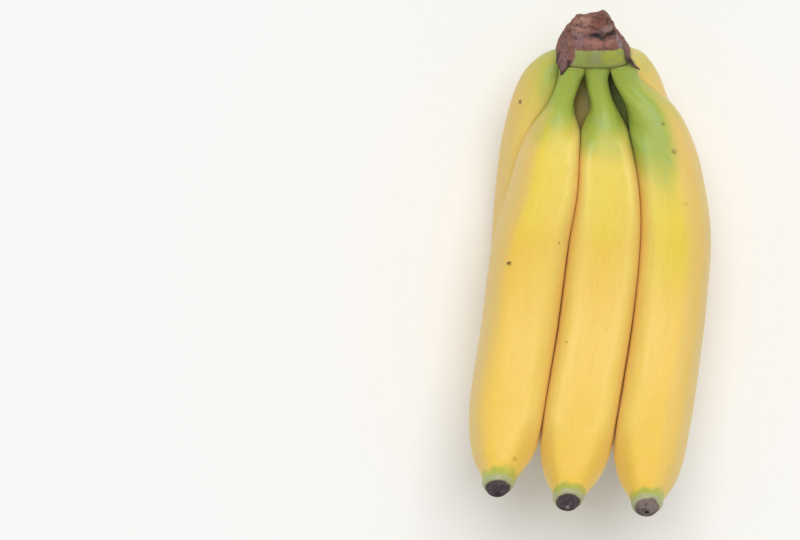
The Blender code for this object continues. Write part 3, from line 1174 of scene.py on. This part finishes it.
@dataclass(frozen=True)
class Crown:
    """The cut stump that the fruits grow from: a green pad at its lip, and dried cork where it was cut.

    Its curves and zones go by the height above the lip, in millimetres, unless their name says otherwise.
    The shares close its under side and its top, from the rim inwards or from the first to the last of so
    many. The pad's dip says from where, over how far and how steeply its top falls to the right. The hollow
    shares say how much a furrow, a wrinkle and a crack darken the cork, as painted shade.
    """

    name: str = "crown"
    gap: float = 0.12
    middle: Curve = Curve(((0.0, 1.4), (1.6, 1.0), (5.0, 0.4), (9.4, -0.2), (12.6, -0.1), (17.2, 0.6)))
    half_width: Curve = Curve(((0.0, 16.2), (1.6, 17.1), (5.0, 15.8), (9.4, 13.2), (12.6, 10.8), (17.2, 8.0)))
    front: Curve = Curve(((0.0, -12.6), (1.6, -13.2), (5.0, -13.1), (9.4, -12.2), (10.4, -9.8), (17.2, 2.4)))
    back: Curve = Curve(((0.0, 12.4), (1.6, 13.6), (5.0, 13.8), (9.4, 12.8), (17.2, 9.0)))
    top: float = 17.2
    squareness: float = 3.0
    sides: int = 180
    step: float = 0.2
    under_shares: tuple[float, float, int] = (0.5, 0.97, 8)
    top_shares: tuple[float, ...] = (1.0, 0.9, 0.8, 0.68, 0.56, 0.44, 0.32, 0.2, 0.1, 0.03)
    lip_height: float = 1.0
    lip_across: Pair = (-10.5, -8.5)
    pad_top: float = 8.8
    pad_dip: Triple = (4.0, 8.0, 0.09)
    pad_edge: Pair = (0.0, 0.6)
    leg: Curve = Curve(((0.0, -10.4), (4.0, -8.2), (9.4, -7.4)))
    leg_edge: Pair = (0.0, 0.7)
    flank_deep: Pair = (-7.6, -6.1)
    flank: Pair = (2.0, 3.5)
    flank_tear: float = 2.0
    torn_edge: Lumps = Lumps(0.35, (2.4, 2.4, 2.4))
    cut: Pair = (8.0, 12.0)
    cut_lean: float = 0.2
    knob: Pair = (15.0, 17.0)
    knob_across: float = 5.0
    knob_width: float = 2.4
    knob_rise: float = 1.3
    bulges: Lumps = Lumps(0.9, (4.5, 2.25, 4.5))
    bulge_climb: float = 0.6
    wrinkles: tuple[Lumps, ...] = (Lumps(0.45, (5.0, 1.5, 5.0)), Lumps(0.25, (1.6, 1.0, 1.6)))
    wrinkle_climb: float = 0.3
    cracks: Lumps = Lumps(1.0, (6.0, 2.2, 6.0))
    crack_seed: float = 40.0
    crack_width: float = 0.06
    crack_depth: float = 0.22
    torn_folds: Lumps = Lumps(0.6, (3.0, 1.2, 3.0))
    folds: tuple[Fold, ...] = (
        Fold(-3.4, 13.6, 13.0, 0.3, 1.1, 0.6),
        Fold(-9.8, 1.5, 14.8, -0.5, 0.5, 0.45),
        Fold(-9.0, 15.0, 9.6, 0.0, 0.25, 0.35),
    )
    hollow_shares: Triple = (1.4, 1.2, 0.5)
    patch_tear: float = 1.842
    patch_front: Pair = (0.0, -0.3)

    def skin(self) -> Skin:
        """Draw the crown about the bend line.

        Returns:
            The skin, in millimetres from the bend's lowest point.
        """
        climb = np.arange(0.0, self.top, self.step)
        under, over = np.linspace(*self.under_shares), np.array(self.top_shares)
        heights = np.concatenate((np.zeros_like(under), climb, np.full_like(over, self.top)))
        shares = np.concatenate((under, np.ones_like(climb), over))
        angles = np.linspace(0.0, 2.0 * math.pi, self.sides, endpoint=False)
        height, angle = np.meshgrid(heights, angles, indexing="ij")
        share = np.repeat(shares[:, None], self.sides, axis=1)
        side, out = np.sin(angle), np.cos(angle)
        corner = np.abs(side) ** self.squareness + np.abs(out) ** self.squareness
        radius = share * corner ** (-1.0 / self.squareness)
        front, back = self.front(height), self.back(height)
        across = self.middle(height) + self.half_width(height) * side * radius
        deep = 0.5 * (front + back) + 0.5 * (back - front) * out * radius
        place = np.stack((across, height, deep), axis=-1)
        cut = fade(height, *self.cut)
        rough = cut * self.bulges.at(place)
        cork = self.cork(across, height, deep, place)
        wrinkle = sum(lumps.at(place) for lumps in self.wrinkles)
        crack = bell(self.cracks.at(place + self.crack_seed), 0.0, self.crack_width) * cut
        torn = 1.0 + self.torn_folds.at(place)
        furrow = torn * sum(fold.furrow(across, height, out) for fold in self.folds)
        fine = cork * wrinkle - furrow - self.crack_depth * crack
        knob = self.knob_rise * bell(across, self.knob_across, self.knob_width) * fade(height, *self.knob)
        climbing = self.bulge_climb * rough + self.wrinkle_climb * fine * cut
        along = NECK_TOP - self.gap - height - self.cut_lean * side * share * cut - knob - climbing
        spread = rough + fine * fade(height, 0.0, self.lip_height)
        by_furrow, by_wrinkle, by_crack = self.hollow_shares
        on_front = fade(out, *self.patch_front)
        return Skin(BEND.place(across + side * spread, along, deep + out * spread), {
            "straight": place,
            "cork": cork,
            # Painted shade in the furrows, wrinkles and cracks of the cork
            "hollow": np.clip(by_furrow * furrow - by_wrinkle * wrinkle + by_crack * crack, 0.0, 1.0),
            "lip": fade(height, self.lip_height, 0.0) * fade(across, *self.lip_across),
            **{patch.name: patch.mask(across, height, self.patch_tear * wrinkle) * on_front
               for patch in (*PAD_PATCHES, *CORK_PATCHES)},
        })

    def cork(self, across: Array, height: Array, deep: Array, place: Array) -> Array:
        """Where the crown is cut and corky: its top and its flanks, and a leg that narrows down its left.

        Args:
            across: Measures to the right.
            height: Heights above the lip.
            deep: Distances away from the viewer.
            place: The three together.

        Returns:
            A mask of nought to one.
        """
        torn = self.torn_edge.at(place)
        dip_from, dip_run, dip = self.pad_dip
        level = self.pad_top - dip * np.clip(across - dip_from, 0.0, dip_run)
        above = fade(height - level + torn, *self.pad_edge)
        leg = fade(self.leg(height) - across + torn, *self.leg_edge)
        flank = fade(deep + self.flank_tear * torn, *self.flank_deep) * fade(height + torn, *self.flank)
        return np.maximum(above, np.maximum(leg, flank))

    def build(self, datum: Array) -> bpy.types.Object:
        """Build the crown in the frame, in place of its faceted solid.

        Args:
            datum: Where the bend's lowest point lies in the frame, in metres.

        Returns:
            The crown.
        """
        skin = self.skin()
        skin.points = skin.points * MM + datum
        thing = skin.make_object("crown_stump", DriedCork().material())
        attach(thing, BODY)
        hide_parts(self.name)
        return thing


@dataclass(frozen=True)
class Scar:
    """A strip of dried sheath that hangs from the crown's corner over a neck, tapering to a point.

    Its route is by distance from the crown's lip: across, deep, half width and thickness, in millimetres.
    Its face leans outwards, by so many degrees, to the side that facing names.
    """

    name: str
    across: Curve
    deep: Curve
    half_width: Curve
    dark: Curve
    facing: float
    thickness: float
    steps: int = 60
    sides: int = 32
    crumple: Lumps = Lumps(0.22, (1.2, 2.6, 1.2))
    crumple_slide: float = 0.5
    lean: float = 37.0
    edge: Pair = (0.45, 0.95)

    def build(self, datum: Array) -> bpy.types.Object:
        """Build the strip, domed on its face and thin at its edges.

        Args:
            datum: Where the bend's lowest point lies in the frame, in metres.

        Returns:
            The strip.
        """
        start, end = self.across.points[0][0], self.across.points[-1][0]
        along = np.linspace(start, end, self.steps)[:, None]
        angle = np.linspace(0.0, 2.0 * math.pi, self.sides, endpoint=False)[None]
        width = self.half_width(along)
        place = np.stack(np.broadcast_arrays(width * np.sin(angle), along, width * np.cos(angle)), axis=-1)
        crumple = self.crumple.at(place + start)
        thick = self.thickness * np.minimum(1.0, width / self.thickness)
        slide = width * np.sin(angle) * (1.0 + crumple) + self.crumple_slide * crumple
        rise = 0.5 * thick * np.cos(angle) + crumple * np.maximum(np.cos(angle), 0.0) * thick
        lean = math.radians(self.lean) * self.facing
        across = self.across(along) + slide * math.cos(lean) + rise * math.sin(lean)
        deep = self.deep(along) + slide * math.sin(lean) - rise * math.cos(lean)
        rows, turned = np.broadcast_arrays(along, np.abs(np.sin(angle)))
        points = BEND.place(across, rows, deep) * MM + datum
        edge = np.maximum(fade(turned, *self.edge), self.dark(rows))
        skin = Skin(points, {"straight": place, "edge": edge})
        thing = skin.make_object(self.name, DriedSheath().material())
        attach(thing, BODY)
        return thing


SCARS = (
    Scar("crown_scar_left",
         Curve(((-6.5, -12.6), (-2.7, -13.3), (-1.0, -13.4), (1.2, -13.6), (2.8, -13.8), (4.4, -14.1))),
         Curve(((-6.5, -8.3), (-2.7, -9.8), (-1.0, -10.3), (1.2, -10.7), (2.8, -10.4), (4.4, -9.7))),
         Curve(((-6.5, 3.0), (-4.0, 3.6), (-2.0, 3.4), (0.0, 2.3), (1.6, 1.2), (3.0, 0.7), (4.4, 0.1))),
         dark=Curve(((-0.6, 0.0), (1.4, 0.4), (3.4, 1.0))), facing=-1.0, thickness=1.5),
    Scar("crown_scar_right",
         Curve(((-8.5, 14.6), (-6.0, 15.4), (-4.2, 16.6), (-2.0, 18.4), (0.4, 20.3), (2.8, 21.9))),
         Curve(((-8.5, -5.5), (-6.0, -8.2), (-4.2, -10.2), (-2.0, -10.5), (0.4, -9.2), (2.8, -6.9))),
         Curve(((-8.5, 0.3), (-6.0, 0.9), (-4.2, 1.5), (-2.0, 1.0), (1.0, 0.7), (2.8, 0.15))),
         dark=Curve(((-6.0, 0.2), (-4.4, 1.0), (-3.0, 1.0), (-1.2, 0.25), (2.8, 0.6))),
         facing=1.0, thickness=1.1),
)


@dataclass(frozen=True)
class DriedSheath:
    """A torn strip of dried sheath: purple-brown along its middle, and nearly black at its edges and tip."""

    middle: str = "#8a6763"
    stain: Layer = Layer("#6b4c44", 0.8, grain=Grain((1.6, 3.0, 1.6), 3.0, 0.42, 0.62))
    edge: Layer = Layer("#3b2b20", 0.92, "edge")
    fibres: Grain = Grain((0.6, 1.4, 0.6), 3.0, 0.3, 0.8)
    fibre_height: float = 0.12
    papery: float = 0.85

    def material(self) -> bpy.types.Material:
        """Lay the dark edges over the strip's middle.

        Returns:
            The material. It looks matt and papery.
        """
        coat = Coat("dried_sheath", self.middle)
        coat.lay(self.stain, self.edge)
        return coat.close(self.papery, coat.grain(self.fibres), self.fibre_height)


@dataclass(frozen=True)
class DriedCork:
    """The crown's tissue: dull green where the skin is whole, and dried to reddish-brown cork on the cuts."""

    pad: str = "#97a04c"
    pad_grey: Layer = Layer("#8e9262", 0.5, grain=Grain((3.0, 9.0, 6.0), 3.0, 0.5, 0.7))
    lip: Layer = Layer("#66662f", 0.8, "lip")
    cork: str = "#8c5e50"
    cork_layers: tuple[Layer, ...] = (
        Layer("#523730", 0.6, grain=Grain((3.0, 1.6, 3.0), 4.0, 0.5, 0.68)),
        Layer("#b08276", 0.55, grain=Grain((2.4, 1.2, 2.4), 3.0, 0.58, 0.74)),
        # Painted shade in the furrows, wrinkles and cracks of the cork
        Layer("#241b1c", 0.9, "hollow"),
    )
    crumbs: Grain = Grain((0.7, 0.5, 0.7), 4.0, 0.3, 0.8)
    crumb_height: float = 0.15
    waxy: float = 0.5
    matt: float = 0.85

    def material(self) -> bpy.types.Material:
        """Lay the pad's greens first and the cork over them.

        Returns:
            The material. It looks dry and matt, with blotches and painted shade that follow the shrunken
            folds.
        """
        coat = Coat("dried_cork_crown", self.pad)
        coat.lay(self.pad_grey, *(patch.layer for patch in PAD_PATCHES), self.lip)
        whole, coat.colour = coat.colour, srgb(self.cork)
        coat.lay(*(patch.layer for patch in CORK_PATCHES), *self.cork_layers)
        mask = coat.fact("cork")
        coat.colour = add_node(coat.tree, "ShaderNodeMix", data_type="RGBA", links={
            MIX_SHARE: mask, MIX_UNDER: whole, MIX_OVER: coat.colour}).outputs[MIX_RESULT]
        gloss = add_node(coat.tree, "ShaderNodeMapRange", links={
            "Value": mask, "To Min": self.waxy, "To Max": self.matt})
        return coat.close(gloss.outputs[0], coat.grain(self.crumbs), self.crumb_height)


@dataclass(frozen=True)
class Studio:
    """A plain pale floor, a camera that looks straight down, and soft light from above."""

    floor_half: float = 3.0
    floor_colour: str = "#fbfbfa"
    floor_roughness: float = 0.9
    sky_strength: float = 0.46
    key_strength: float = 1.7
    key_spread: float = 44.0
    key_from: Triple = (0.05, 0.34, 1.0)
    farthest: float = 10.0

    def build(self, datum: Array) -> None:
        """Set up the floor, the camera and the light.

        Args:
            datum: Where the bend's lowest point lies in the frame, in metres.
        """
        bpy.ops.mesh.primitive_plane_add(size=2.0 * self.floor_half)
        floor = bpy.context.active_object
        floor.name = "studio_floor"
        paper = bpy.data.materials.new("matt_paper_floor")
        paper.use_nodes = True
        surface = paper.node_tree.nodes["Principled BSDF"]
        surface.inputs["Base Color"].default_value = srgb(self.floor_colour)
        surface.inputs["Roughness"].default_value = self.floor_roughness
        floor.data.materials.append(paper)
        scene = bpy.context.scene
        scene.view_settings.view_transform = "Standard"
        scene.world = bpy.data.worlds.new("soft_studio")
        scene.world.use_nodes = True
        sky = scene.world.node_tree.nodes["Background"]
        sky.inputs["Color"].default_value = (1.0, 1.0, 1.0, 1.0)
        sky.inputs["Strength"].default_value = self.sky_strength
        lamp = bpy.data.lights.new("wide_softbox", "SUN")
        lamp.energy = self.key_strength
        lamp.angle = math.radians(self.key_spread)
        box = bpy.data.objects.new("wide_softbox", lamp)
        box.rotation_euler = (-Vector(self.key_from)).to_track_quat("-Z", "Y").to_euler()
        scene.collection.objects.link(box)
        lens = bpy.data.cameras.new("camera")
        lens.lens = LENS
        lens.sensor_width = SENSOR
        lens.clip_end = self.farthest
        camera = bpy.data.objects.new("camera", lens)
        camera.location = (VIEW_MIDDLE[0] + datum[0], VIEW_MIDDLE[1] + datum[1], CAMERA_HEIGHT)
        scene.collection.objects.link(camera)
        scene.camera = camera


def main() -> None:
    """Build the hand, then the studio round it."""
    logging.basicConfig(level=logging.INFO, format="%(name)s: %(message)s")
    datum = find_datum()
    for part in (Crown(), *SCARS, *HAND):
        thing = part.build(datum)
        log.info("%s: %d faces", thing.name, len(thing.data.polygons))
    Studio().build(datum)


if __name__ == "__main__":
    main()
